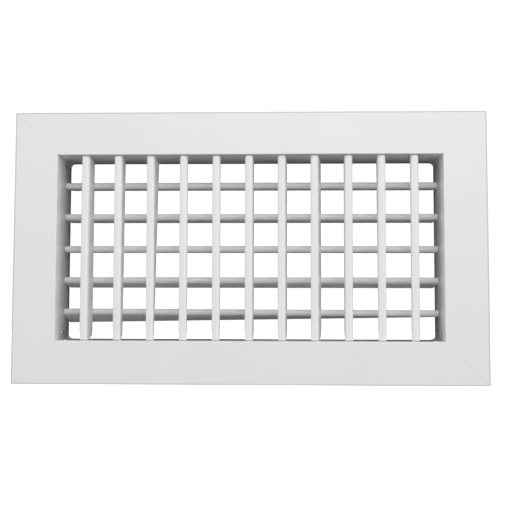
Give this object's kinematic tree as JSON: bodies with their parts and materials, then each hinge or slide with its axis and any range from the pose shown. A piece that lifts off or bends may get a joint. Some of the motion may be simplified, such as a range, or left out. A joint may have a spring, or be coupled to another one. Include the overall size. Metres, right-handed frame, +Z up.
{
  "type": "double deflection air grille",
  "caption": "White wall air grille with a flat mitred flange, a neck behind it and two rows of separately turning blades, upright in front and level behind.",
  "frame": {"origin": "centre of the opening, in the plane of the wall behind the flange", "axes": "+X to the viewer's right along the width, +Y into the wall along the neck, +Z up; the face looks towards -Y"},
  "size_m": [0.3574, 0.041, 0.206],
  "materials": {
    "powder_coat": "white semi-gloss powder coat on extruded aluminium",
    "nylon": "natural moulded nylon",
    "steel_pin": "zinc-plated steel, dull",
    "mill_aluminium": "mill-finish aluminium, sheared edges",
    "rivet_aluminium": "plain aluminium blind rivets"
  },
  "bodies": {
    "frame": {"frame_top": "powder_coat", "frame_bottom": "powder_coat", "frame_left": "powder_coat", "frame_right": "powder_coat", "bushes_top": "nylon", "bushes_bottom": "nylon", "bushes_left": "nylon", "bushes_right": "nylon", "neck_bracket_top_left": "mill_aluminium", "neck_bracket_top_right": "mill_aluminium", "neck_bracket_bottom_left": "mill_aluminium", "neck_bracket_bottom_right": "mill_aluminium", "flange_key_top_left": "mill_aluminium", "flange_key_top_right": "mill_aluminium", "flange_key_bottom_left": "mill_aluminium", "flange_key_bottom_right": "mill_aluminium", "neck_rivets": "rivet_aluminium", "corner_beads": "powder_coat"},
    "front_louvre_01": {"front_blade_01": "powder_coat", "front_pins_01": "steel_pin"},
    "front_louvre_02": {"front_blade_02": "powder_coat", "front_pins_02": "steel_pin"},
    "front_louvre_03": {"front_blade_03": "powder_coat", "front_pins_03": "steel_pin"},
    "front_louvre_04": {"front_blade_04": "powder_coat", "front_pins_04": "steel_pin"},
    "front_louvre_05": {"front_blade_05": "powder_coat", "front_pins_05": "steel_pin"},
    "front_louvre_06": {"front_blade_06": "powder_coat", "front_pins_06": "steel_pin"},
    "front_louvre_07": {"front_blade_07": "powder_coat", "front_pins_07": "steel_pin"},
    "front_louvre_08": {"front_blade_08": "powder_coat", "front_pins_08": "steel_pin"},
    "front_louvre_09": {"front_blade_09": "powder_coat", "front_pins_09": "steel_pin"},
    "front_louvre_10": {"front_blade_10": "powder_coat", "front_pins_10": "steel_pin"},
    "front_louvre_11": {"front_blade_11": "powder_coat", "front_pins_11": "steel_pin"},
    "rear_louvre_1": {"rear_blade_1": "powder_coat", "rear_pins_1": "steel_pin"},
    "rear_louvre_2": {"rear_blade_2": "powder_coat", "rear_pins_2": "steel_pin"},
    "rear_louvre_3": {"rear_blade_3": "powder_coat", "rear_pins_3": "steel_pin"},
    "rear_louvre_4": {"rear_blade_4": "powder_coat", "rear_pins_4": "steel_pin"},
    "rear_louvre_5": {"rear_blade_5": "powder_coat", "rear_pins_5": "steel_pin"}
  },
  "joints": [
    {"name": "front_blade_01_turn", "type": "hinge", "parent": "frame", "child": "front_louvre_01", "pos_m": [-0.125, 0.0015, 0], "axis": [0, 0, -1], "range_deg": [-60.5, 39.5]},
    {"name": "front_blade_02_turn", "type": "hinge", "parent": "frame", "child": "front_louvre_02", "pos_m": [-0.1, 0.0015, 0], "axis": [0, 0, -1], "range_deg": [-55.25, 44.75]},
    {"name": "front_blade_03_turn", "type": "hinge", "parent": "frame", "child": "front_louvre_03", "pos_m": [-0.075, 0.0015, 0], "axis": [0, 0, -1], "range_deg": [-57.25, 42.75]},
    {"name": "front_blade_04_turn", "type": "hinge", "parent": "frame", "child": "front_louvre_04", "pos_m": [-0.05, 0.0015, 0], "axis": [0, 0, -1], "range_deg": [-53, 47]},
    {"name": "front_blade_05_turn", "type": "hinge", "parent": "frame", "child": "front_louvre_05", "pos_m": [-0.025, 0.0015, 0], "axis": [0, 0, -1], "range_deg": [-55.5, 44.5]},
    {"name": "front_blade_06_turn", "type": "hinge", "parent": "frame", "child": "front_louvre_06", "pos_m": [0, 0.0015, 0], "axis": [0, 0, -1], "range_deg": [-60.5, 39.5]},
    {"name": "front_blade_07_turn", "type": "hinge", "parent": "frame", "child": "front_louvre_07", "pos_m": [0.025, 0.0015, 0], "axis": [0, 0, -1], "range_deg": [-63.5, 36.5]},
    {"name": "front_blade_08_turn", "type": "hinge", "parent": "frame", "child": "front_louvre_08", "pos_m": [0.05, 0.0015, 0], "axis": [0, 0, -1], "range_deg": [-69.5, 30.5]},
    {"name": "front_blade_09_turn", "type": "hinge", "parent": "frame", "child": "front_louvre_09", "pos_m": [0.075, 0.0015, 0], "axis": [0, 0, -1], "range_deg": [-43.5, 56.5]},
    {"name": "front_blade_10_turn", "type": "hinge", "parent": "frame", "child": "front_louvre_10", "pos_m": [0.1, 0.0015, 0], "axis": [0, 0, -1], "range_deg": [-46.5, 53.5]},
    {"name": "front_blade_11_turn", "type": "hinge", "parent": "frame", "child": "front_louvre_11", "pos_m": [0.125, 0.0015, 0], "axis": [0, 0, -1], "range_deg": [-49.5, 50.5]},
    {"name": "rear_blade_1_turn", "type": "hinge", "parent": "frame", "child": "rear_louvre_1", "pos_m": [0, 0.0221, 0.05], "axis": [-1, 0, 0], "range_deg": [-53.5, 46.5]},
    {"name": "rear_blade_2_turn", "type": "hinge", "parent": "frame", "child": "rear_louvre_2", "pos_m": [0, 0.0221, 0.025], "axis": [-1, 0, 0], "range_deg": [-59, 41]},
    {"name": "rear_blade_3_turn", "type": "hinge", "parent": "frame", "child": "rear_louvre_3", "pos_m": [0, 0.0221, 0], "axis": [-1, 0, 0], "range_deg": [-55, 45]},
    {"name": "rear_blade_4_turn", "type": "hinge", "parent": "frame", "child": "rear_louvre_4", "pos_m": [0, 0.0221, -0.025], "axis": [-1, 0, 0], "range_deg": [-68.5, 31.5]},
    {"name": "rear_blade_5_turn", "type": "hinge", "parent": "frame", "child": "rear_louvre_5", "pos_m": [0, 0.0221, -0.05], "axis": [-1, 0, 0], "range_deg": [-70.25, 29.75]}
  ]
}
